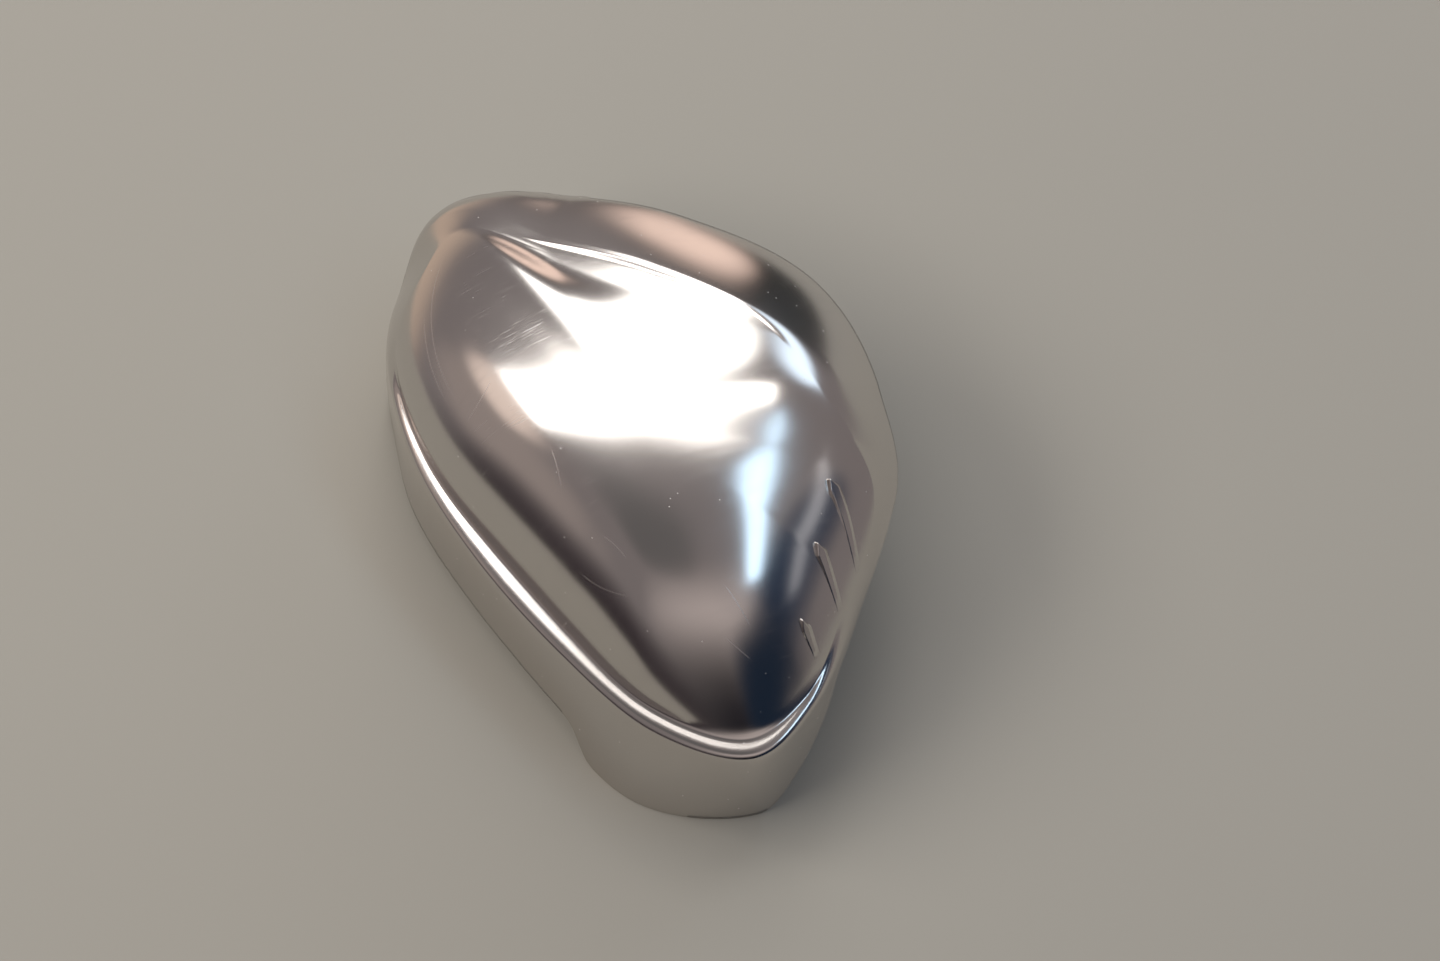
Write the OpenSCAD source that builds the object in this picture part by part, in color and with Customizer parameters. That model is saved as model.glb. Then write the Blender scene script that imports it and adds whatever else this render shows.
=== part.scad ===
// Moulded cover of a wing mirror, lying on its open side
// The narrow tip points to -Y, the wide end to +Y and the crown up

/* [Cover] */
// Length of the ledge line, from the tip to the wide end
cover_l = 212; // [200:1:225]
// Width across the ledge line
cover_w = 135.5; // [128:0.5:145]
// Height of the crown above the surface that the cover lies on
crown_h = 88; // [84:0.5:94]
// Radius of the crown across the cover
crown_r_x = 120; // [100:5:160]
// Radius of the crown along the cover
crown_r_y = 225; // [180:5:300]
// Thickness of the moulded wall
wall = 2.6; // [2:0.1:3]

/* [Ledge and crease] */
// Height of the ledge round the tip and the long side
ledge_h = 44; // [40:0.5:48]
// Highest point of the crease across the wide end
crease_h = 76; // [72:0.5:79]
// Width of the flat shelf inside the ledge
shelf_w = 7.5; // [5:0.5:9]
// Reach of the rounding along the ledge
ledge_round = 3; // [2:0.5:4]
// Depth of the small valley behind the crease
crease_dip = 0.8; // [0:0.1:1]

/* [Rim] */
// Lift of the long side's rim beyond the notch at the tip
notch_lift = 11; // [4:0.5:14]
// Height of the rim along the wide end
band_rim_h = 47.5; // [45:0.5:49]
// Height of the straight cut at the outer corner
corner_rim_h = 48.5; // [46:0.5:50]
// Height of the straight cut at its kink, where it turns down to the tip
kink_rim_h = 38; // [30:0.5:39]

/* [Fins] */
// Width of a fin across its nose
fin_w = 3.4; // [2:0.2:5]
// Height of a fin at its nose
fin_h = 1.6; // [0.8:0.1:2.4]

/* [Inside] */
// Width of each snap tongue
tongue_w = 9; // [6:0.5:12]
// Thickness of each snap tongue
tongue_t = 2; // [1.6:0.1:2.6]
// Length of each snap tongue below the wall
tongue_l = 20; // [14:0.5:24]
// Reach of the barb on each snap tongue
barb = 2.2; // [1:0.1:3]
// Radius of the locating pegs
peg_r = 3; // [2:0.1:4]
// Free length of the locating pegs
peg_l = 16; // [10:0.5:20]
// Distance between the locating pegs
peg_spacing = 64; // [50:1:72]
// Radius of the boss that carries each peg
boss_r = 5.5; // [5:0.1:7]
// Length of the boss below the wall
boss_l = 18; // [12:0.5:24]
// Thickness of the rib between the pegs
rib_t = 1.6; // [1.2:0.1:2]
// Depth of the rib below the wall
rib_h = 6; // [4:0.5:9]

/* [Hidden] */
$fn = 64;

// Each list below has one value for each of 15 stations along the ledge line. They start
// at the tip and run clockwise seen from above: the long side is 1 to 6, the wide end 7
// to 11, and the flank with the fins 12 to 14. A spline joins them.

// Plan of the ledge line, as shares of the cover's width and length
outline = [
    [-0.125, -0.524], [-0.31, -0.415], [-0.428, -0.245], [-0.517, -0.042], [-0.55, 0.151],
    [-0.502, 0.335], [-0.369, 0.443], [-0.214, 0.476], [-0.037, 0.368], [0.155, 0.25],
    [0.34, 0.09], [0.428, -0.071], [0.45, -0.226], [0.266, -0.375], [0.066, -0.486]];
// Rise of the line, from 0 at the ledge's height to 1 at the crease's
rise = [0, 0, 0, 0, 0, 0.03, 0.19, 0.5, 0.72, 0.88, 1, 0.91, 0.375, 0.08, 0];
// Angle at which the outer wall leaves the line, away from straight down
splay = [7.5, 18, 12, 8, 7.5, 7, 39, 63, 62, 60, 56, 43.5, 35, 17, 11.5];
// Distance out that the wall swings before it runs straight down, as shares of the widest
flare = [0.67, 0.67, 0.67, 0.44, 0.22, 0.07, 0.045, 0.26, 0.89, 1, 1, 1, 0.67, 0.67, 0.67];
// Widest such distance
swing_l = 90;
// Shelf inside the line, as shares of the shelf's width
shelf = [1, 1, 1, 0.93, 0.67, 0.33, 0, 0.4, 0.93, 0.67, 0.27, 0, 0, 0, 0.53];
// Rounding of the line, as shares of the ledge's rounding
round = [1, 1, 1, 1, 1, 1.3, 2.7, 1.7, 0.5, 0.4, 0.5, 2, 2.7, 1.3, 1];
// How wide the flat crown is towards each station
belly = [2.5, 2.5, 2.5, 2.5, 2.5, 2.5, 2.4, 2.6, 2.6, 1.8, 2, 3, 3, 3, 2.6];
// How softly the dome's flank meets the shelf
shoulder = [1, 0.75, 0.65, 0.65, 0.65, 0.65, 0.7, 0.85, 1, 1, 1, 0.85, 0.8, 0.9, 0.9];
// Fall of the shelf towards the dome, as shares of the valley's depth
fall = [0.4, 0.4, 0.4, 0.4, 0.4, 0.25, 0, 0.25, 1, 1, 0.75, 0, 0, 0, 0.25];
// Concave blend between the shelf and the dome, as shares of its size
blend = [1, 1, 1, 1, 1, 1, 1, 2, 2.7, 1.3, 1, 1, 1, 1, 1];
// Size of that blend along the ledge
blend_r = 3;

// Height of the straight cut halfway to its kink, above the kink
kink_rise = 4;
// Heights of the rim on its way down from the kink to the tip
down_rim_h = [26, 13];
// Height of the rim at places along the line
rim_heights = [
    [0, 0], [1.5, 0], [1.73, notch_lift], [2.5, notch_lift], [4, notch_lift / 2], [6, 0],
    [7.65, 0], [8.1, band_rim_h], [10, band_rim_h], [11, corner_rim_h], [12.2, corner_rim_h],
    [13, kink_rim_h + kink_rise], [13.55, kink_rim_h], [14, down_rim_h[0]],
    [14.5, down_rim_h[1]], [14.85, 0], [15, 0]];
// How far the easing of the rim's corners reaches, in stations
rim_ease = 0.07;

// Plan position of the crown, measured like the outline
crown = [-0.074 * cover_w, -0.038 * cover_l];
// Rounding where the corner's wall turns down
turn_r = 6;
// Places along the line where that turn starts, is full, starts to fade and is gone
turn_places = [6.5, 7.2, 8.3, 8.9];
// Slope of the dome's surface where it is carried on past its foot
beyond = 4;
// Largest share of the wall's height that the rounding takes
round_share = 0.6;
// Flat left between the rounding and the dome's foot where there is no shelf
foot_gap = 1;
// Distance from the foot to the dome's first ring
dome_start = 2.5;
// Steepness of the wall between which its inner rim turns from level to square
square_rim = [0.4, 0.7];

stations = len(outline);
steps = 8;
skirt_rows = 8;
count = stations * steps;
// Small steps for slopes, in stations along the line and in millimetres across it
du = 0.02;
dd = 0.2;

function wrap(i) = (i % stations + stations) % stations;
// Smooth closed curve through the values of a list, at place u
function along(v, u) =
    let(i = floor(u), t = u - i, a = v[wrap(i - 1)], b = v[wrap(i)], c = v[wrap(i + 1)],
        d = v[wrap(i + 2)])
    b + t / 2 * (c - a + t * (2 * a - 5 * b + 4 * c - d + t * (3 * b - a - 3 * c + d)));
function unit(v) = v / norm(v);
function clamp(x, low = 0, high = 1) = min(high, max(low, x));
function smooth(x) = let(t = clamp(x)) t * t * (3 - 2 * t);
function soft_max(a, b, k) =
    let(h = clamp(0.5 + (a - b) / (2 * k))) b * (1 - h) + a * h + k * h * (1 - h);

// The ledge line, which turns into the crease across the wide end
function edge(u) =
    let(p = along(outline, u))
    [p.x * cover_w, p.y * cover_l, ledge_h + along(rise, u) * (crease_h - ledge_h)];
function outward(u) = let(t = edge(u + du) - edge(u - du)) unit([-t.y, t.x, 0]);
function inward_l(u) = let(e = edge(u)) norm([e.x, e.y] - crown);
// Rim height, with the corners of the steps eased
function rim_z(u) =
    let(before = lookup(u - rim_ease, rim_heights), after = lookup(u + rim_ease, rim_heights))
    (before + 2 * lookup(u, rim_heights) + after) / 4;
// Height of the wall below the line
function full_drop(u) = edge(u).z - rim_z(u);
// How much of the wall turns straight down near the band's rim, at the corner of the wide end
function straight(u) =
    let(p = turn_places)
    smooth((u - p[0]) / (p[1] - p[0])) * smooth((p[3] - u) / (p[3] - p[2]));

// A point of the outer wall, a given drop below the line
function skirt(u, drop) =
    let(f = swing_l * max(0.01, along(flare, u)), k = tan(along(splay, u)), e = edge(u),
        swing = drop - straight(u) * soft_max(drop - e.z + band_rim_h - turn_r / 2, 0, turn_r))
    e + outward(u) * f * (1 - exp(-k * swing / f)) - [0, 0, drop];

// A point of the shelf and dome, a given distance in from the line towards the crown. The
// dome drops from an even crown to the profile of its station.
function top(u, d) =
    let(e = edge(u), l = inward_l(u), w = max(0, shelf_w * along(shelf, u)),
        dip = crease_dip * along(fall, u), foot = e.z - dip, r = 1 - (d - w) / (l - w),
        p = [e.x, e.y] + (crown - [e.x, e.y]) * d / l, q = p - crown, power = along(belly, u),
        share = r < 1 ? pow(1 - pow(max(r, 0), power), along(shoulder, u)) : (1 - r) * beyond,
        flank_drop = (crown_h - foot) * (1 - share),
        crown_drop = q.x * q.x / (2 * crown_r_x) + q.y * q.y / (2 * crown_r_y),
        dome = crown_h - crown_drop + (crown_drop - flank_drop) * smooth(r),
        level = e.z - dip * clamp(d / max(w, 1)))
    [p.x, p.y, soft_max(dome, level, blend_r * along(blend, u) * clamp(w / blend_r, 0.05, 1))];

// Reach of the rounding, which stays clear of a low rim
function reach(u) = min(ledge_round * along(round, u), round_share * full_drop(u));
// Foot of the dome, where the shelf ends
function foot_d(u) = max(shelf_w * along(shelf, u), reach(u) + foot_gap);

// Outward normals, from the surface's slopes at the point
function skirt_normal(u, drop) =
    let(v = drop)
    unit(cross(skirt(u + du, v) - skirt(u - du, v), skirt(u, v + dd) - skirt(u, v - dd)));
function top_normal(u, d) =
    unit(cross(top(u + du, d) - top(u - du, d), top(u, d - dd) - top(u, d + dd)));

// The same surfaces, one wall further in
function under_skirt(u, drop) = skirt(u, drop) - wall * skirt_normal(u, drop);
function under_top(u, d) = top(u, d) - wall * top_normal(u, d);

function dome_d(u, share) = let(start = foot_d(u) + dome_start) start + (inward_l(u) - start) * share;
places = [for (i = [0:count - 1]) i / steps];

// Rings of the outer face, from the rim to the last one round the crown
function outer_rings() = concat(
    [for (t = [0:skirt_rows - 1]) [for (u = places)
        let(full = full_drop(u)) skirt(u, full + (reach(u) - full) * t / (skirt_rows - 1))]],
    [for (t = [0.25, 0.5, 0.75]) [for (u = places)
        skirt(u, reach(u)) * pow(1 - t, 2) + edge(u) * 2 * t * (1 - t) + top(u, reach(u)) * t * t]],
    [for (t = [0, 0.5, 1]) [for (u = places) top(u, reach(u) + (foot_d(u) - reach(u)) * t)]],
    [for (share = [0, 0.07, 0.16, 0.27, 0.4, 0.55, 0.7, 0.85]) [for (u = places)
        top(u, dome_d(u, share))]]);

// The inner rim is level under a steep wall, and square to the wall where that runs out flat
function inner_rim(u) =
    let(full = full_drop(u), p = skirt(u, full), n = skirt_normal(u, full),
        level = p - wall / norm([n.x, n.y]) * unit([n.x, n.y, 0]),
        share = (n.z - square_rim[0]) / (square_rim[1] - square_rim[0]))
    level + (p - wall * n - level) * smooth(share);
function inner_edge(u) =
    let(a = skirt_normal(u, dd), b = top_normal(u, 2 * dd)) edge(u) - wall * (a + b) / (1 + a * b);

// Rings of the inner face, from the crown to the rim
function inner_rings() = concat(
    [for (share = [0.8, 0.55, 0.33, 0.15, 0]) [for (u = places) under_top(u, dome_d(u, share))]],
    [[for (u = places) under_top(u, (foot_d(u) + reach(u)) / 2)]],
    [[for (u = places) inner_edge(u)]],
    [for (share = [0.15, 0.35, 0.6, 0.8]) [for (u = places)
        under_skirt(u, reach(u) + (full_drop(u) - reach(u)) * share)]],
    [[for (u = places) inner_rim(u)]]);

// One closed skin: outer face, crown, inner face and the rim between them
module shell() {
    outer = outer_rings();
    rings = concat(outer, inner_rings());
    apex = len(rings) * count;
    poles = [[crown.x, crown.y, crown_h], [crown.x, crown.y, crown_h - wall]];
    function quad(a, b, i) =
        let(j = (i + 1) % count)
        [[a * count + i, a * count + j, b * count + j], [a * count + i, b * count + j, b * count + i]];
    function fan(ring, pole, flip) = [for (i = [0:count - 1]) let(j = (i + 1) % count)
        flip ? [ring * count + j, ring * count + i, pole] : [ring * count + i, ring * count + j, pole]];
    faces = concat(
        [for (k = [0:len(outer) - 2]) for (i = [0:count - 1]) each quad(k, k + 1, i)],
        fan(len(outer) - 1, apex, false),
        fan(len(outer), apex + 1, true),
        [for (k = [len(outer):len(rings) - 2]) for (i = [0:count - 1]) each quad(k, k + 1, i)],
        [for (i = [0:count - 1]) each quad(len(rings) - 1, 0, i)]);
    polyhedron(concat([for (ring = rings) each ring], poles), faces);
}

// Middle of the wall under a point of the top
function mid(u, d) = top(u, d) - wall / 2 * top_normal(u, d);
// Plan direction from a station's edge towards the crown
function heading(u) = let(e = edge(u)) atan2(crown.y - e.y, crown.x - e.x);

// Shark-fin flicks: [place, distance in] of the nose and of the tail, and share of full size
fins = [
    [[12.26, 19], [12.77, 3.5], 1],
    [[12.89, 17.6], [13.17, 5], 0.9],
    [[13.61, 15], [13.68, 6.5], 0.75]];
fin_slices = 10;
// How far the nose slopes back, as a share of the fin's length
nose_run = 0.1;
// Share of its width that a fin loses towards the tail, and how fast its height fades
fin_taper = 0.75;
fin_fade = 2;
// Offset of a fin's crest towards its steep side, as a share of its width
crest_offset = 0.12;
// Least height above the skin, so that a fin's edges come out clean
skim = 0.02;

// One fin: a blunt nose, a steep side and a tail that runs out into the flank
module fin(nose, tail, size) {
    function at(t) = nose + (tail - nose) * t;
    function slice(t, h, w) =
        let(a = at(t), b = at(t + 0.5 / fin_slices), p = top(a[0], a[1]), n = top_normal(a[0], a[1]),
            run = unit(top(b[0], b[1]) - p), side = unit(cross(run, n)) * w, root = n * wall / 2)
        [p - side / 2 - root, p + side / 2 - root, p + side / 2 + n * skim,
            p + side * crest_offset + n * (h + skim), p - side / 2 + n * skim];
    rings = concat(
        [slice(-nose_run, 0, fin_w * size * crest_offset)],
        [for (k = [0:fin_slices]) let(t = k / fin_slices)
            slice(t, fin_h * size * pow(1 - t, fin_fade), fin_w * size * (1 - fin_taper * t))]);
    n = len(rings[0]);
    last = (len(rings) - 1) * n;
    faces = concat(
        [[for (i = [n - 1:-1:0]) i]],
        [for (k = [0:len(rings) - 2]) for (i = [0:n - 1]) let(a = k * n + i, b = k * n + (i + 1) % n)
            each [[a, b + n, a + n], [a, b, b + n]]],
        [[for (i = [0:n - 1]) last + i]]);
    polyhedron([for (ring = rings) each ring], faces);
}

// Snap tongues under the shelf: [place, distance in]
tongues = [[0.1, 5], [1.9, 5], [3.3, 4.8], [8.2, 4.6], [9.2, 4], [14.1, 3.4]];

// One snap tongue, hanging from inside the wall, with its barb towards the rim
module tongue(u, d) {
    foot = mid(u, d);
    tip = foot.z - tongue_l;
    translate([foot.x, foot.y, 0]) rotate([90, 0, heading(u)])
        linear_extrude(tongue_w, center = true)
            polygon([
                [0, foot.z], [0, tip + 3 * barb], [-barb, tip + 2 * barb], [0, tip],
                [tongue_t, tip], [tongue_t, foot.z]]);
}

// Locating pegs on bosses, on both sides of the crown
peg_stations = [7.5, 0];
module peg(u) {
    root = mid(u, inward_l(u) - peg_spacing / 2);
    translate([root.x, root.y, 0]) {
        translate([0, 0, root.z - boss_l]) cylinder(r = boss_r, h = boss_l);
        translate([0, 0, root.z - boss_l - peg_l]) cylinder(r = peg_r, h = boss_l + peg_l);
    }
}

rib_slices = 12;
// Distance that the rib's path keeps from the crown's own point
crown_gap = 1;

// Rib that follows the inside of the wall from one boss to the other
module rib() {
    depth = [0, 0, rib_h + wall / 2];
    function spine(t) =
        let(u = peg_stations[t < 0 ? 0 : 1])
        mid(u, inward_l(u) - max(abs(t) * peg_spacing / 2, crown_gap));
    function run(t) = spine(min(t + du, 1)) - spine(max(t - du, -1));
    rings = [for (k = [0:rib_slices])
        let(t = 2 * k / rib_slices - 1, p = spine(t), side = unit(cross(run(t), depth)) * rib_t / 2)
        [p - side, p + side, p + side - depth, p - side - depth]];
    last = rib_slices * 4;
    faces = concat(
        [[0, 1, 2, 3]],
        [for (k = [0:rib_slices - 1]) for (i = [0:3]) let(a = k * 4 + i, b = k * 4 + (i + 1) % 4)
            each [[a, a + 4, b + 4], [a, b + 4, b]]],
        [[last + 3, last + 2, last + 1, last]]);
    polyhedron([for (ring = rings) each ring], faces);
}

// Moves the middle of the cover's plan to the origin
module centred() {
    points = [for (ring = outer_rings()) each ring];
    x = [for (p = points) p.x];
    y = [for (p = points) p.y];
    translate(-[min(x) + max(x), min(y) + max(y), 0] / 2) children();
}

module mirror_cover() {
    color("silver") centred() {
        shell();
        for (f = fins) fin(f[0], f[1], f[2]);
        for (t = tongues) tongue(t[0], t[1]);
        for (u = peg_stations) peg(u);
        rib();
    }
}

mirror_cover();
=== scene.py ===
# Dressed model of a moulded wing mirror cover with a satin aluminium finish
from math import cos, radians, sin

import bmesh
import bpy
import numpy as np
from mathutils import Matrix, Vector


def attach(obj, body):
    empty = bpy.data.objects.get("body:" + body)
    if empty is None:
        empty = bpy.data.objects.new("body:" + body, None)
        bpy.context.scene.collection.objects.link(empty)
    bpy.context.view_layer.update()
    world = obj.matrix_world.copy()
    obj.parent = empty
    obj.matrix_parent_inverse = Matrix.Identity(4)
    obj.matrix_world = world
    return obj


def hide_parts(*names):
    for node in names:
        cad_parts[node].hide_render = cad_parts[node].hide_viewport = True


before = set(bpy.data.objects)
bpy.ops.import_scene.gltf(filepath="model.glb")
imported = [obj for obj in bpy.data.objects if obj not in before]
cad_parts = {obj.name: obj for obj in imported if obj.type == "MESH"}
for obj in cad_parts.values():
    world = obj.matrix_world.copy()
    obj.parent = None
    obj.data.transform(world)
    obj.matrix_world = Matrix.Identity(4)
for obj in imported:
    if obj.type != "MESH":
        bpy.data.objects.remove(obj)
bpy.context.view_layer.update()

# Metres in a millimetre, a touch short so that this finer skin stays inside the solid's box
MM = 0.0009988

# Sizes of the cover in millimetres, the same as the solid's
COVER_L, COVER_W, CROWN_H = 212, 135.5, 88
CROWN_R_X, CROWN_R_Y = 120, 225
WALL = 2.6
LEDGE_H, CREASE_H = 44, 76
SHELF_W, LEDGE_ROUND, CREASE_DIP = 7.5, 3, 0.8
NOTCH_LIFT, BAND_RIM_H, CORNER_RIM_H, KINK_RIM_H = 11, 47.5, 48.5, 38
FIN_W, FIN_H = 3.4, 1.6
TONGUE_W, TONGUE_T, TONGUE_L, BARB = 9, 2, 20, 2.2
PEG_R, PEG_L, PEG_SPACING, BOSS_R, BOSS_L = 3, 16, 64, 5.5, 18
RIB_T, RIB_H = 1.6, 6
CROWN = np.array([-0.074 * COVER_W, -0.038 * COVER_L])
BEYOND, TURN_R, RIM_EASE = 4, 6, 0.07
ROUND_SHARE = 0.6
# Small steps for slopes, in stations along the line and in millimetres across it
DU, DD = 0.02, 0.2
# Size in metres that a mesh starts with, before its points are put in place
START_SIZE = 0.01

# One value for each of 15 stations along the ledge line, clockwise from the tip
OUTLINE = np.array([
    [-0.125, -0.524], [-0.31, -0.415], [-0.428, -0.245], [-0.517, -0.042], [-0.55, 0.151],
    [-0.502, 0.335], [-0.369, 0.443], [-0.214, 0.476], [-0.037, 0.368], [0.155, 0.25],
    [0.34, 0.09], [0.428, -0.071], [0.45, -0.226], [0.266, -0.375], [0.066, -0.486]])
RISE = [0, 0, 0, 0, 0, 0.03, 0.19, 0.5, 0.72, 0.88, 1, 0.91, 0.375, 0.08, 0]
SPLAY = [7.5, 18, 12, 8, 7.5, 7, 39, 63, 62, 60, 56, 43.5, 35, 17, 11.5]
FLARE = [0.67, 0.67, 0.67, 0.44, 0.22, 0.07, 0.045, 0.26, 0.89, 1, 1, 1, 0.67, 0.67, 0.67]
SWING_L = 90
SHELF = [1, 1, 1, 0.93, 0.67, 0.33, 0, 0.4, 0.93, 0.67, 0.27, 0, 0, 0, 0.53]
ROUND = [1, 1, 1, 1, 1, 1.3, 2.7, 1.7, 0.5, 0.4, 0.5, 2, 2.7, 1.3, 1]
BELLY = [2.5, 2.5, 2.5, 2.5, 2.5, 2.5, 2.4, 2.6, 2.6, 1.8, 2, 3, 3, 3, 2.6]
SHOULDER = [1, 0.75, 0.65, 0.65, 0.65, 0.65, 0.7, 0.85, 1, 1, 1, 0.85, 0.8, 0.9, 0.9]
FALL = [0.4, 0.4, 0.4, 0.4, 0.4, 0.25, 0, 0.25, 1, 1, 0.75, 0, 0, 0, 0.25]
BLEND = [1, 1, 1, 1, 1, 1, 1, 2, 2.7, 1.3, 1, 1, 1, 1, 1]
BLEND_R = 3
RIM_HEIGHTS = [
    [0, 0], [1.5, 0], [1.73, NOTCH_LIFT], [2.5, NOTCH_LIFT], [4, NOTCH_LIFT / 2], [6, 0],
    [7.65, 0], [8.1, BAND_RIM_H], [10, BAND_RIM_H], [11, CORNER_RIM_H], [12.2, CORNER_RIM_H],
    [13, KINK_RIM_H + 4], [13.55, KINK_RIM_H], [14, 26], [14.5, 13], [14.85, 0], [15, 0]]


def along(values, u):
    """Smooth closed curve through the values of a list, at the places u."""
    values = np.asarray(values, float)
    n = len(values)
    i = np.floor(u).astype(int)
    t = u - i
    if values.ndim > 1:
        t = t[..., None]
    a, b, c, d = (values[(i + k) % n] for k in (-1, 0, 1, 2))
    return b + t / 2 * (c - a + t * (2 * a - 5 * b + 4 * c - d + t * (3 * b - a - 3 * c + d)))


def smooth(x):
    """0 up to 0 and 1 from 1, eased between them."""
    t = np.clip(x, 0, 1)
    return t * t * (3 - 2 * t)


def soft_max(a, b, k):
    """The larger of two values, rounded where they come within k of each other."""
    h = np.clip(0.5 + (a - b) / (2 * k), 0, 1)
    return b * (1 - h) + a * h + k * h * (1 - h)


def unit(v):
    return v / np.linalg.norm(v, axis=-1, keepdims=True)


def edge(u):
    """Points of the ledge line."""
    p = along(OUTLINE, u) * [COVER_W, COVER_L]
    return np.column_stack([p, LEDGE_H + along(RISE, u) * (CREASE_H - LEDGE_H)])


def outward(u):
    """Directions in plan, square to the ledge line and away from the cover."""
    t = edge(u + DU) - edge(u - DU)
    return unit(np.column_stack([-t[:, 1], t[:, 0], np.zeros(len(t))]))


def inward_l(u):
    """Distances in plan from the ledge line to the crown."""
    return np.linalg.norm(edge(u)[:, :2] - CROWN, axis=1)


def rim_z(u):
    """Heights of the rim, with its corners eased."""
    x, y = np.array(RIM_HEIGHTS).T
    return (np.interp(u - RIM_EASE, x, y) + 2 * np.interp(u, x, y) + np.interp(u + RIM_EASE, x, y)) / 4


def straight(u):
    """1 on the part of the line where the wall ends upright at its foot, else 0."""
    return smooth((u - 6.5) / 0.7) * smooth((8.9 - u) / 0.6)


def skirt(u, drop):
    """A point of the outer wall, a given drop below the ledge line."""
    f = SWING_L * np.maximum(0.01, along(FLARE, u))
    k = np.tan(np.radians(along(SPLAY, u)))
    e = edge(u)
    swing = drop - straight(u) * soft_max(drop - e[:, 2] + BAND_RIM_H - TURN_R / 2, 0, TURN_R)
    p = e + outward(u) * (f * (1 - np.exp(-k * swing / f)))[:, None]
    p[:, 2] -= drop
    return p


def top(u, d):
    """A point of the shelf and dome, a given distance in from the line towards the crown."""
    e, length = edge(u), inward_l(u)
    w = np.maximum(0, SHELF_W * along(SHELF, u))
    dip = CREASE_DIP * along(FALL, u)
    foot = e[:, 2] - dip
    r = 1 - (d - w) / (length - w)
    p = e[:, :2] + (CROWN - e[:, :2]) * (d / length)[:, None]
    q = p - CROWN
    inside = (1 - np.clip(r, 0, 1) ** along(BELLY, u)) ** along(SHOULDER, u)
    share = np.where(r < 1, inside, (1 - r) * BEYOND)
    flank_drop = (CROWN_H - foot) * (1 - share)
    crown_drop = q[:, 0] ** 2 / (2 * CROWN_R_X) + q[:, 1] ** 2 / (2 * CROWN_R_Y)
    dome = CROWN_H - crown_drop + (crown_drop - flank_drop) * smooth(r)
    level = e[:, 2] - dip * np.clip(d / np.maximum(w, 1), 0, 1)
    z = soft_max(dome, level, BLEND_R * along(BLEND, u) * np.clip(w / BLEND_R, 0.05, 1))
    return np.column_stack([p, z])


def skirt_normal(u, drop):
    lengthwise = skirt(u + DU, drop) - skirt(u - DU, drop)
    return unit(np.cross(lengthwise, skirt(u, drop + DD) - skirt(u, drop - DD)))


def top_normal(u, d):
    lengthwise = top(u + DU, d) - top(u - DU, d)
    return unit(np.cross(lengthwise, top(u, d - DD) - top(u, d + DD)))


def mid(u, d):
    """Middle of the wall under a point of the top."""
    return top(u, d) - WALL / 2 * top_normal(u, d)


def reach(u):
    """How far the rounding of the ledge reaches on either side of the line."""
    return np.minimum(LEDGE_ROUND * along(ROUND, u), ROUND_SHARE * (edge(u)[:, 2] - rim_z(u)))


def foot_d(u):
    """How far in from the line the dome's foot lies, at least a millimetre beyond the rounding."""
    return np.maximum(SHELF_W * along(SHELF, u), reach(u) + 1)


# Places round the cover, and rows across it
ROUND_COUNT = 360
PLACES = np.arange(ROUND_COUNT) * len(OUTLINE) / ROUND_COUNT
FULL = edge(PLACES)[:, 2] - rim_z(PLACES)
REACH = reach(PLACES)
FOOT = foot_d(PLACES)
LENGTH = inward_l(PLACES)
RIM_ROUND = 0.35
# Rows of the dome as shares of the way to the crown, then close rows in millimetres from the dome's foot
DOME_ROWS = np.linspace(0.97, 0.04, 26)
FOOT_ROWS = [0.35, 0.8, 1.4, 2.1, 3, 4, 5.2, 6.6, 8.2, 10]
# Rows of the shelf as shares of its width, and steps of the rounding and of the wall
SHELF_ROWS = (0.85, 0.7, 0.5, 0.3, 0.15, 0)
ROUND_STEPS, WALL_STEPS = 8, 14
# Rows of the inner face: the wall and the dome as shares, and the start of the dome in from its foot
INNER_WALL_ROWS = (0.9, 0.8, 0.7, 0.6, 0.5, 0.4, 0.3, 0.2, 0.1)
INNER_DOME_ROWS = (0.06, 0.13, 0.2, 0.3, 0.4, 0.5, 0.6, 0.7, 0.8, 0.9)
INNER_START = 2.5


def outer_rows():
    """Rings of the outer face, from the one nearest the crown out to the rim."""
    rows = []
    start = FOOT + FOOT_ROWS[-1]
    for share in DOME_ROWS:
        rows.append(top(PLACES, start + (LENGTH - start) * share))
    for d in reversed([0] + FOOT_ROWS):
        rows.append(top(PLACES, FOOT + d))
    for t in SHELF_ROWS:
        rows.append(top(PLACES, REACH + (FOOT - REACH) * t))
    low, high = skirt(PLACES, REACH), top(PLACES, REACH)
    for t in np.linspace(1, 0, ROUND_STEPS + 1)[1:-1]:
        rows.append(low * (1 - t) ** 2 + edge(PLACES) * 2 * t * (1 - t) + high * t * t)
    for t in np.linspace(0, 1, WALL_STEPS + 1):
        rows.append(skirt(PLACES, REACH + (FULL - RIM_ROUND - REACH) * t))
    return rows


def inner_rim(u, full):
    """The inner edge of the rim: level with the outer one, or square to the wall where the wall lies flat."""
    p, n = skirt(u, full), skirt_normal(u, full)
    flat = n * [1, 1, 0]
    level = p - WALL * unit(flat) / np.linalg.norm(flat, axis=1, keepdims=True)
    return level + (p - WALL * n - level) * smooth((n[:, 2:] - 0.4) / 0.3)


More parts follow.
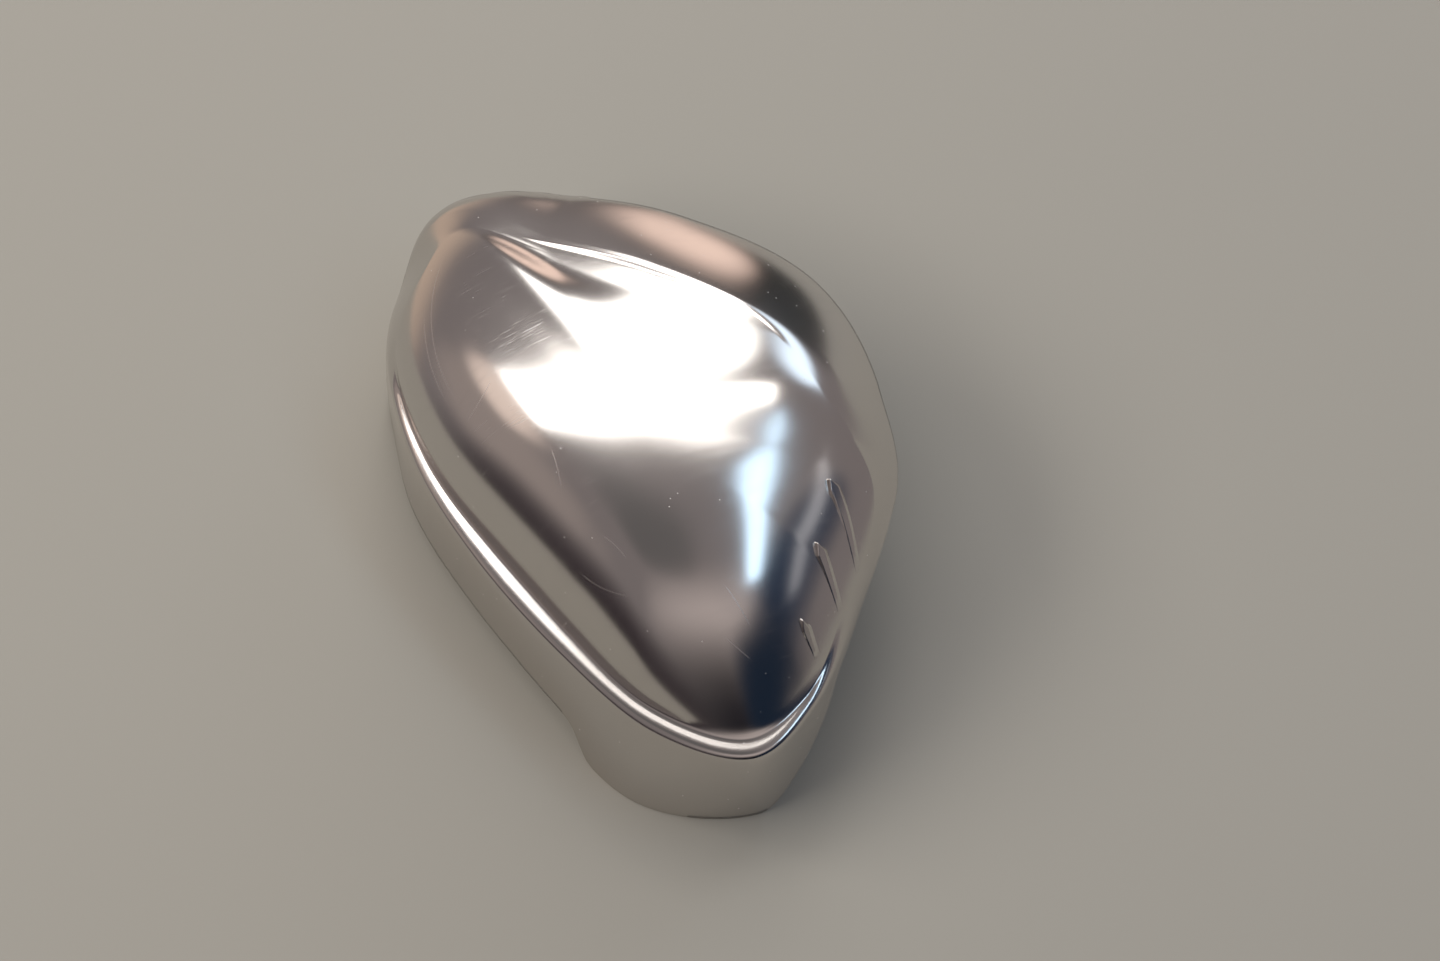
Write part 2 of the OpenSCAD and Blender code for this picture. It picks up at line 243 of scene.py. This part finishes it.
def inner_rows():
    """Rings of the inner face, from the rim in to the one nearest the crown."""
    rows = []
    outer_edge, inner_edge = skirt(PLACES, FULL), inner_rim(PLACES, FULL)
    across = unit(inner_edge - outer_edge) * RIM_ROUND
    rows.append(outer_edge + across)
    rows.append(inner_edge - across)
    up = unit(skirt(PLACES, FULL - 1) - outer_edge) * RIM_ROUND
    rows.append(inner_edge + up)
    for share in INNER_WALL_ROWS:
        drop = REACH + (FULL - REACH) * share
        rows.append(skirt(PLACES, drop) - WALL * skirt_normal(PLACES, drop))
    a, b = skirt_normal(PLACES, np.full(ROUND_COUNT, 0.2)), top_normal(PLACES, np.full(ROUND_COUNT, 0.4))
    rows.append(edge(PLACES) - WALL * (a + b) / (1 + (a * b).sum(1, keepdims=True)))
    for t in (0.5, 1):
        d = REACH + (FOOT - REACH) * t
        rows.append(top(PLACES, d) - WALL * top_normal(PLACES, d))
    start = FOOT + INNER_START
    for share in INNER_DOME_ROWS:
        d = start + (LENGTH - start) * share
        rows.append(top(PLACES, d) - WALL * top_normal(PLACES, d))
    return rows


def deselect():
    bpy.ops.object.select_all(action="DESELECT")


def put(verts, points):
    """Sets vertices in place at points given in millimetres."""
    for v, p in zip(verts, points):
        v.co = Vector(p) * MM


def lofted(name, rows, first_pole, last_pole):
    """A closed skin: a circle on the first ring, extruded to each ring after it and closed at both poles."""
    deselect()
    count = len(rows[0])
    bpy.ops.mesh.primitive_circle_add(vertices=count, radius=START_SIZE)
    piece = bpy.context.object
    piece.name = name
    bpy.ops.object.mode_set(mode="EDIT")
    bpy.ops.mesh.select_mode(type="VERT")

    def extruded(old):
        """Extrudes the ring of verts numbered old, and returns the new ring's verts in the same order."""
        bpy.ops.mesh.extrude_edges_move()
        bm = bmesh.from_edit_mesh(piece.data)
        bm.verts.ensure_lookup_table()
        place = {index: k for k, index in enumerate(old)}
        new = [None] * count
        for v in bm.verts:
            if v.select:
                for e in v.link_edges:
                    k = place.get(e.other_vert(v).index)
                    if k is not None and not e.other_vert(v).select:
                        new[k] = v
        return bm, new

    bm = bmesh.from_edit_mesh(piece.data)
    ring = sorted(bm.verts, key=lambda v: v.index)
    put(ring, rows[0])
    first = [v.index for v in ring]
    numbers = first
    for row in rows[1:]:
        bm, ring = extruded(numbers)
        put(ring, row)
        bm.verts.index_update()
        numbers = [v.index for v in ring]
    bmesh.update_edit_mesh(piece.data)
    for ends, pole in ((numbers, last_pole), (first, first_pole)):
        bm = bmesh.from_edit_mesh(piece.data)
        bm.verts.ensure_lookup_table()
        bpy.ops.mesh.select_all(action="DESELECT")
        for k, index in enumerate(ends):
            bm.verts[index].select_set(True)
        bm.select_flush(True)
        bpy.ops.mesh.extrude_edges_move()
        bpy.ops.mesh.merge(type="CENTER")
        bm = bmesh.from_edit_mesh(piece.data)
        for v in bm.verts:
            if v.select:
                v.co = Vector(pole) * MM
    bpy.ops.mesh.select_all(action="SELECT")
    bpy.ops.mesh.normals_make_consistent(inside=False)
    bpy.ops.object.mode_set(mode="OBJECT")
    return piece


def finished(piece, angle=35):
    """Smooth shading up to an angle, as a moulding has."""
    deselect()
    piece.select_set(True)
    bpy.context.view_layer.objects.active = piece
    bpy.ops.object.shade_smooth_by_angle(angle=radians(angle))
    return piece


def applied(piece, kind, **settings):
    """Adds a modifier with its settings and applies it."""
    bpy.context.view_layer.objects.active = piece
    modifier = piece.modifiers.new(kind.lower(), kind)
    for key, value in settings.items():
        setattr(modifier, key, value)
    bpy.ops.object.modifier_apply(modifier=modifier.name)


def bevelled(piece, width):
    """Eases a piece's sharp edges by a width in millimetres."""
    applied(piece, "BEVEL", width=width * MM, segments=2, limit_method="ANGLE", angle_limit=radians(40))
    return finished(piece)


outer, inner = outer_rows(), inner_rows()
plan = np.concatenate(outer)[:, :2]
MIDDLE = np.array([*(plan.min(0) + plan.max(0)) / 2, 0])
rows = [row - MIDDLE for row in outer + inner]
crown_point = np.array([*CROWN, CROWN_H]) - MIDDLE
cover = lofted("mirror_cover_skin", rows, crown_point, crown_point - [0, 0, WALL])
finished(cover, 50)

# Shark-fin flicks: place and distance in of the nose and of the tail, and share of full size
FINS = [((12.26, 19), (12.77, 3.5), 1), ((12.89, 17.6), (13.17, 5), 0.9), ((13.61, 15), (13.68, 6.5), 0.75)]
# Steep side, blend on the other side, length of the pointed nose and depth of the hidden edge, in millimetres
FIN_STEEP, FIN_BLEND, FIN_NOSE, FIN_SUNK = 0.45, 2, 4.5, 0.12
# Share of the width that is gone at the tail, power by which the height fades, and height that the tail keeps
FIN_TAPER, FIN_FADE, FIN_TAIL = 0.75, 2, 0.1
# Reach of the patch in front of the nose and beside the steep side, and its length as a share of the fin's
PATCH_FRONT, PATCH_SIDE, PATCH_LENGTH = 0.9, 0.3, 1.04
# Rows along the nose and along the rest, and across the blended side, the crest and the steep side
NOSE_ROWS, TAIL_ROWS, BLEND_ROWS, CREST_ROWS, STEEP_ROWS = 22, 44, 14, 20, 10


def fin(nose, tail, size):
    """A patch of the skin that rises to a fin: steep on one side, blended on the other, flush at its tail."""
    nose, tail = np.array(nose), np.array(tail)
    ends = top(np.array([nose[0], tail[0]]), np.array([nose[1], tail[1]]))
    length = np.linalg.norm(ends[1] - ends[0])
    lengthwise = np.concatenate([np.linspace(-PATCH_FRONT, FIN_NOSE, NOSE_ROWS),
                                 np.linspace(FIN_NOSE, length * PATCH_LENGTH, TAIL_ROWS)[1:]])
    half = FIN_W * size / 2
    across = np.concatenate([np.linspace(-half - FIN_BLEND, -half, BLEND_ROWS),
                             np.linspace(-half, half, CREST_ROWS)[1:],
                             np.linspace(half, half + FIN_STEEP + PATCH_SIDE, STEEP_ROWS)[1:]])
    a, b = (v.ravel() for v in np.meshgrid(lengthwise, across, indexing="ij"))
    t = a / length
    u, d = nose[0] + (tail[0] - nose[0]) * t, nose[1] + (tail[1] - nose[1]) * t
    # The way across the fin is turned from millimetres into steps of u and d, by the skin's slopes
    by_u = (top(u + DU, d) - top(u - DU, d)) / (2 * DU)
    by_d = (top(u, d + DD) - top(u, d - DD)) / (2 * DD)
    run = unit(by_u * (tail - nose)[0] + by_d * (tail - nose)[1])
    side = unit(np.cross(run, top_normal(u, d))) * b[:, None]
    uu, ud, dd = (by_u ** 2).sum(1), (by_u * by_d).sum(1), (by_d ** 2).sum(1)
    ru, rd = (side * by_u).sum(1), (side * by_d).sum(1)
    det = uu * dd - ud ** 2
    u, d = u + (ru * dd - rd * ud) / det, d + (rd * uu - ru * ud) / det
    width = half * (1 - FIN_TAPER * np.clip(t, 0, 1)) * np.clip((a + 0.3) / FIN_NOSE, 0, 1)
    crest = FIN_H * size * (1 - np.clip(t, 0, 1)) ** FIN_FADE + FIN_TAIL * smooth((1.02 - t) * 6)
    soft = FIN_STEEP + (FIN_BLEND - FIN_STEEP) * smooth((a - 0.5) / FIN_NOSE)
    share = smooth((width + FIN_STEEP - b) / FIN_STEEP) * smooth((b + width + soft) / soft)
    share = share * smooth((a + 0.6) / 0.6)
    height = crest * share - FIN_SUNK * (1 - smooth(share * 8))
    points = top(u, d) + top_normal(u, d) * height[:, None] - MIDDLE
    deselect()
    bpy.ops.mesh.primitive_grid_add(x_subdivisions=len(across) - 1, y_subdivisions=len(lengthwise) - 1,
                                    size=START_SIZE)
    piece = bpy.context.object
    piece.name = "fin"
    put(piece.data.vertices, points)
    applied(piece, "SOLIDIFY", thickness=WALL / 3 * MM, offset=-1)
    return finished(piece, 60)


def prism(name, outline, place, heading, width):
    """A flat outline of points out along a heading and up, given a width across it, at a place."""
    way = np.array([cos(heading), sin(heading), 0])
    across = np.array([-way[1], way[0], 0]) * width / 2
    face = np.array([place * [1, 1, 0] + way * x + [0, 0, z] for x, z in outline]) - MIDDLE
    deselect()
    bpy.ops.mesh.primitive_circle_add(vertices=len(outline), radius=START_SIZE, fill_type="NGON")
    piece = bpy.context.object
    piece.name = name
    put(piece.data.vertices, face - across)
    bpy.ops.object.mode_set(mode="EDIT")
    bpy.ops.mesh.select_all(action="SELECT")
    bpy.ops.mesh.extrude_region_move(TRANSFORM_OT_translate={"value": tuple(across * 2 * MM)})
    bpy.ops.mesh.select_all(action="SELECT")
    bpy.ops.mesh.normals_make_consistent(inside=False)
    bpy.ops.object.mode_set(mode="OBJECT")
    return piece


# Snap tongues: station along the line and distance in from it
TONGUES = [(0.1, 5), (1.9, 5), (3.3, 4.8), (8.2, 4.6), (9.2, 4), (14.1, 3.4)]
# Stations that the pegs lie towards, as seen from the crown
PEG_STATIONS = [7.5, 0]
# Eased edges of tongues and pegs, and how far a peg reaches into its boss
TONGUE_EASE, PEG_EASE, PEG_SUNK = 0.3, 0.4, 1


def tongue(u, d):
    """A snap tongue that hangs from the wall, with a barb on its outer side."""
    u, d = np.array([u]), np.array([float(d)])
    foot = mid(u, d)[0]
    inwards = CROWN - edge(u)[0, :2]
    z, tip = foot[2], foot[2] - TONGUE_L
    outline = [(0, z), (0, tip + 3 * BARB), (-BARB, tip + 2 * BARB), (0, tip), (TONGUE_T, tip), (TONGUE_T, z)]
    piece = prism("tongue", outline, foot, np.arctan2(inwards[1], inwards[0]), TONGUE_W)
    return bevelled(piece, TONGUE_EASE)


def pin(name, root, radius, top_z, length):
    """An upright cylinder from a height down, with its edges eased."""
    deselect()
    place = (root * [1, 1, 0] + [0, 0, top_z - length / 2] - MIDDLE) * MM
    bpy.ops.mesh.primitive_cylinder_add(vertices=64, radius=radius * MM, depth=length * MM, location=place)
    piece = bpy.context.object
    piece.name = name
    bpy.ops.object.transform_apply(location=True, rotation=False, scale=False)
    return bevelled(piece, PEG_EASE)


def peg(u):
    """A locating peg and the boss that carries it."""
    u = np.array([float(u)])
    root = mid(u, inward_l(u) - PEG_SPACING / 2)[0]
    boss = pin("boss", root, BOSS_R, root[2], BOSS_L)
    return [boss, pin("peg", root, PEG_R, root[2] - BOSS_L + PEG_SUNK, PEG_L + PEG_SUNK)]


def rib(slices=24):
    """The rib from one boss over the crown to the other, hanging from the middle of the wall."""
    depth = np.array([0, 0, RIB_H + WALL / 2])

    def spine(t):
        u = np.array([float(PEG_STATIONS[0 if t < 0 else 1])])
        return mid(u, inward_l(u) - max(abs(t) * PEG_SPACING / 2, 1))[0]

    rings = []
    for t in np.linspace(-1, 1, slices + 1):
        run = spine(min(t + DU, 1)) - spine(max(t - DU, -1))
        side = unit(np.cross(run, depth)) * RIB_T / 2
        p = spine(t) - MIDDLE
        rings.append(np.array([p - side, p + side, p + side - depth, p - side - depth]))
    return finished(lofted("rib", rings, rings[0].mean(0), rings[-1].mean(0)))


parts = [fin(*sizes) for sizes in FINS] + [tongue(*place) for place in TONGUES] + [rib()]
for station in PEG_STATIONS:
    parts += peg(station)

deselect()
for piece in parts + [cover]:
    piece.select_set(True)
bpy.context.view_layer.objects.active = cover
bpy.ops.object.join()


class Value:
    """A shader socket that takes part in sums as a number does."""
    def __init__(self, graph, socket):
        self.graph, self.socket = graph, socket

    def __add__(self, other):
        return self.graph.math("ADD", self, other)

    def __sub__(self, other):
        return self.graph.math("SUBTRACT", self, other)

    def __rsub__(self, other):
        return self.graph.math("SUBTRACT", other, self)

    def __mul__(self, other):
        return self.graph.math("MULTIPLY", self, other)

    __radd__, __rmul__ = __add__, __mul__

    def between(self, low, high):
        """0 below low, 1 above high, eased between them; falls instead where low is the larger."""
        settings = {"interpolation_type": "SMOOTHSTEP"}
        if low < high:
            return self.graph.node("ShaderNodeMapRange", settings, {0: self, 1: low, 2: high})
        return 1 - self.graph.node("ShaderNodeMapRange", settings, {0: self, 1: high, 2: low})


class Graph:
    """The nodes of one material or world."""
    def __init__(self, tree):
        self.tree = tree

    def node(self, kind, settings, sockets, output=0):
        """Adds a node, sets its settings and fills its sockets with values or links."""
        node = self.tree.nodes.new(kind)
        for key, value in settings.items():
            setattr(node, key, value)
        for key, value in sockets.items():
            self.feed(node.inputs[key], value)
        return Value(self, node.outputs[output])

    def feed(self, socket, value):
        if isinstance(value, Value):
            self.tree.links.new(value.socket, socket)
        else:
            socket.default_value = value

    def math(self, operation, *values):
        return self.node("ShaderNodeMath", {"operation": operation}, dict(enumerate(values)))

    def vector_math(self, operation, *values, output=0):
        return self.node("ShaderNodeVectorMath", {"operation": operation}, dict(enumerate(values)), output)

    def mix(self, share, first, second):
        """A colour between two colours."""
        ends = {0: share, 6: first, 7: second}
        return self.node("ShaderNodeMix", {"data_type": "RGBA"}, ends, 2)

    def turned(self, vector, angles, scale):
        """Coordinates turned about the origin and stretched."""
        rotation = tuple(radians(a) for a in angles)
        return self.node("ShaderNodeMapping", {"vector_type": "POINT"}, {0: vector, 2: rotation, 3: scale})

    def noise(self, vector, scale, detail=2, roughness=0.5, distortion=0):
        values = {"Vector": vector, "Scale": scale, "Detail": detail, "Roughness": roughness,
                  "Distortion": distortion}
        return self.node("ShaderNodeTexNoise", {}, values)

    def cells(self, vector, scale, output="Distance"):
        return self.node("ShaderNodeTexVoronoi", {}, {"Vector": vector, "Scale": scale}, output)


def principled(name, color, metallic, roughness):
    """A material with its constants on the shader's own sockets, and the graph of its nodes."""
    material = bpy.data.materials.new(name)
    material.use_nodes = True
    shader = material.node_tree.nodes["Principled BSDF"]
    shader.inputs["Base Color"].default_value = (*color, 1)
    shader.inputs["Metallic"].default_value = metallic
    shader.inputs["Roughness"].default_value = roughness
    graph = Graph(material.node_tree)
    return material, shader, graph


def place_on(point):
    """A place in millimetres as object coordinates."""
    return tuple(c * MM for c in point)


SATIN, SATIN_ROUGHNESS = (0.64, 0.615, 0.59), 0.165
FLOOR, FLOOR_ROUGHNESS = (0.33, 0.316, 0.28), 0.7
# Hairline arcs: plan centre and radius in millimetres, direction of the middle and half angle in degrees
ARCS = [((-10, -30), 36, 213, 9), ((14, 38), 71, 162, 14), ((14, 38), 73.5, 170, 8), ((-80, -90), 78, 12, 3),
        ((60, -40), 82, 213, 2), ((-70, 60), 40, 300, 6), ((-95, 0), 58, 350, 4), ((-60, -52), 30, 20, 6)]
# Half widths in metres at which an arc ends and at which it is at its strongest
ARC_WIDTH = (0.00022, 0.00008)
# Rubbed areas with crossing hairlines: plan centre and reach in millimetres
RUBBED = [((-53, 12), 17), ((-38, -22), 17), ((2, -82), 12), ((-25, 60), 28), ((-30, 20), 30)]
# Areas with dust specks: plan centre and reach in millimetres
DUSTY = [((61, 29), 15), ((2, -92), 7)]


def satin(name, color, roughness):
    """Satin metal with smudges, hairline scratches and dust specks."""
    material, shader, graph = principled(name, color, 1, roughness)
    place = graph.node("ShaderNodeTexCoord", {}, {}, "Object")
    flat = graph.vector_math("MULTIPLY", place, (1, 1, 0))

    def distance(center):
        """Distance in plan from a place."""
        return graph.vector_math("DISTANCE", flat, place_on((*center, 0)), output="Value")

    def near(center, reach):
        """1 within half the reach of a plan place, falling to 0 at the reach."""
        return distance(center).between(reach * MM, reach * MM / 2)

    cloud = graph.noise(place, 14, 3, 0.55, 0.6)
    streaks = graph.noise(graph.turned(place, (0, 0, 32), (30, 140, 30)), 1, 3, 0.6, 1.2)
    smudge = cloud.between(0.45, 0.75) * 0.6 + streaks.between(0.5, 0.8) * 0.5
    grain = graph.noise(place, 2600, 1)

    hairs = 0
    for turn, (long, fine) in ((20, (60, 3200)), (74, (80, 3600)), (118, (55, 3000)), (160, (90, 3900))):
        lines = graph.noise(graph.turned(place, (0, 0, turn), (long, fine, long)), 1, 0, 0.5, 0.4)
        hairs = lines.between(0.76, 0.8) + hairs
    hairs = hairs * graph.noise(place, 110, 1).between(0.45, 0.62)
    rubbed = 0.12
    for center, reach in RUBBED:
        rubbed = near(center, reach) * 0.5 + rubbed
    scratches = hairs * rubbed
    for center, radius, turn, half in ARCS:
        line = graph.math("ABSOLUTE", distance(center) - radius * MM).between(*ARC_WIDTH)
        middle = (center[0] + radius * cos(radians(turn)), center[1] + radius * sin(radians(turn)))
        scratches = line * near(middle, radius * 2 * sin(radians(half))) + scratches
    scratches = graph.math("MINIMUM", scratches, 1)

    dust = 0
    for center, reach in DUSTY:
        dust = near(center, reach) + dust
    choice = graph.node("ShaderNodeSeparateColor", {}, {0: graph.cells(place, 700, "Color")})
    specks = graph.cells(place, 700).between(0.18, 0.12) * (choice + dust * 0.12).between(0.985, 0.99) * 0.7

    tone = graph.mix(smudge * 0.35, (*color, 1), (*(c * 0.9 for c in color), 1))
    tone = graph.mix(scratches * 0.5, tone, (0.8, 0.78, 0.76, 1))
    graph.feed(shader.inputs["Base Color"], graph.mix(specks, tone, (0.75, 0.72, 0.68, 1)))
    rough = roughness + smudge * 0.05 + scratches * 0.16 + specks * 0.3
    graph.feed(shader.inputs["Roughness"], graph.math("MINIMUM", rough, 0.9))
    graph.feed(shader.inputs["Metallic"], 1 - specks * 0.9)
    relief = {"Strength": 0.12, "Distance": 0.00002, "Height": grain * 0.35 - scratches + specks}
    graph.feed(shader.inputs["Normal"], graph.node("ShaderNodeBump", {}, relief))
    return material


cover.data.materials.clear()
cover.data.materials.append(satin("satin_aluminium", SATIN, SATIN_ROUGHNESS))
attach(cover, "root")
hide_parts("mirror_cover")

# Camera, at the photograph's viewing angle, and its distance in metres from the point that it looks at
AZIMUTH, ELEVATION = radians(-25), radians(66)
LENS, SENSOR = 75, 36
DISTANCE = 1.05
TARGET = (np.array([23.5, -0.75, 0]) - MIDDLE) * MM
back = Vector((sin(AZIMUTH) * cos(ELEVATION), -cos(AZIMUTH) * cos(ELEVATION), sin(ELEVATION)))
deselect()
bpy.ops.object.camera_add(location=Vector(TARGET) + back * DISTANCE)
camera = bpy.context.object
camera.rotation_euler = back.to_track_quat("Z", "Y").to_euler()
camera.data.lens = LENS
camera.data.sensor_width = SENSOR
bpy.context.scene.camera = camera

# Floor: a pale table top that fills the frame, with its size and its shift towards the camera in metres
FLOOR_SIZE, FLOOR_BACK = (0.59, 0.54), 0.055
deselect()
near = Vector((back.x, back.y, 0)).normalized()
floor_at = Vector(TARGET) + near * FLOOR_BACK
bpy.ops.mesh.primitive_plane_add(size=1, location=floor_at, rotation=(0, 0, AZIMUTH))
floor = bpy.context.object
floor.name = "floor"
floor.scale = (*FLOOR_SIZE, 1)
bpy.ops.object.transform_apply(location=True, rotation=True, scale=True)
floor.data.materials.append(principled("floor_paint", FLOOR, 0, FLOOR_ROUGHNESS)[0])


def toward(tilt, turn):
    """A direction given in degrees: away from the zenith, and round from the camera's right."""
    right = Vector((cos(AZIMUTH), sin(AZIMUTH), 0))
    far = Vector((-sin(AZIMUTH), cos(AZIMUTH), 0))
    flat = right * cos(radians(turn)) + far * sin(radians(turn))
    return flat * sin(radians(tilt)) + Vector((0, 0, cos(radians(tilt))))


def lamp(name, start, end, width, power, color, distance=3):
    """A soft rectangular lamp that reaches from one direction to another, as seen from the cover."""
    a, b = toward(*start) * distance, toward(*end) * distance
    away, span = (a + b).normalized(), b - a
    deselect()
    bpy.ops.object.light_add(type="AREA", location=(a + b) / 2)
    light = bpy.context.object
    light.name = name
    x = span.normalized()
    light.rotation_euler = Matrix((x, away.cross(x), away)).transposed().to_euler()
    light.data.shape = "RECTANGLE"
    light.data.size, light.data.size_y = span.length, width
    light.data.energy = power
    light.data.color = color
    return light


# Two warm windows on the far side, a blue one and a thin strip on the right
lamp("tall_window", (77, 82), (36, 92), 0.84, 17.6, (1, 0.98, 0.95))
lamp("wide_window", (41.5, 152), (40, 55), 0.62, 25, (1, 0.965, 0.93))
lamp("side_window", (32, 42), (47, -27), 0.42, 8.5, (0.55, 0.78, 1))
lamp("strip", (55, 15), (73, -18), 0.3, 0.85, (0.98, 0.97, 1))
# Light on the table from the left, which the metal doesn't show
lamp("fill", (55, 150), (55, -150), 0.8, 45, (1, 0.96, 0.9)).visible_glossy = False

# Surroundings: a dim room with soft lighter and darker parts, as direction, reach in degrees and colour
ROOM = (0.24, 0.21, 0.21)
PARTS = [
    # lit floor beyond the table, and the walls on the near side and on the left
    ((115, 130), 40, (0.65, 0.5, 0.4)), ((70, -70), 55, (0.6, 0.52, 0.5)), ((70, 180), 30, (0.38, 0.32, 0.3)),
    ((50, 160), 15, (1.1, 0.9, 0.8)),
    # unlit floor all round, and the dark above
    ((105, -75), 65, (0.01, 0.01, 0.015)), ((115, -140), 50, (0.04, 0.03, 0.035)),
    ((105, 70), 26, (0.03, 0.03, 0.03)), ((10, -140), 25, (0.15, 0.14, 0.14)),
    # dark blue corner on the right
    ((65, -15), 25, (0.01, 0.025, 0.06)), ((80, -45), 30, (0.01, 0.02, 0.04)),
    # a blue window pane and a warm patch on the far side
    ((72, 56), 18, (1.55, 1.85, 2.2)), ((101, 81), 9, (1.4, 1.05, 0.9))]
world = bpy.data.worlds.new("surroundings")
bpy.context.scene.world = world
world.use_nodes = True
graph = Graph(world.node_tree)
way = graph.node("ShaderNodeTexCoord", {}, {}, "Generated")
color = (*ROOM, 1)
for center, angle, part in PARTS:
    facing = graph.vector_math("DOT_PRODUCT", way, tuple(toward(*center)), output="Value")
    share = facing.between(cos(radians(angle)), cos(radians(angle / 3)))
    color = graph.mix(share, color, (*part, 1))
seen = graph.node("ShaderNodeLightPath", {}, {}, "Is Camera Ray")
color = graph.mix(seen, color, (*FLOOR, 1))
graph.feed(world.node_tree.nodes["Background"].inputs["Color"], color)
bpy.context.scene.view_settings.view_transform = "Standard"
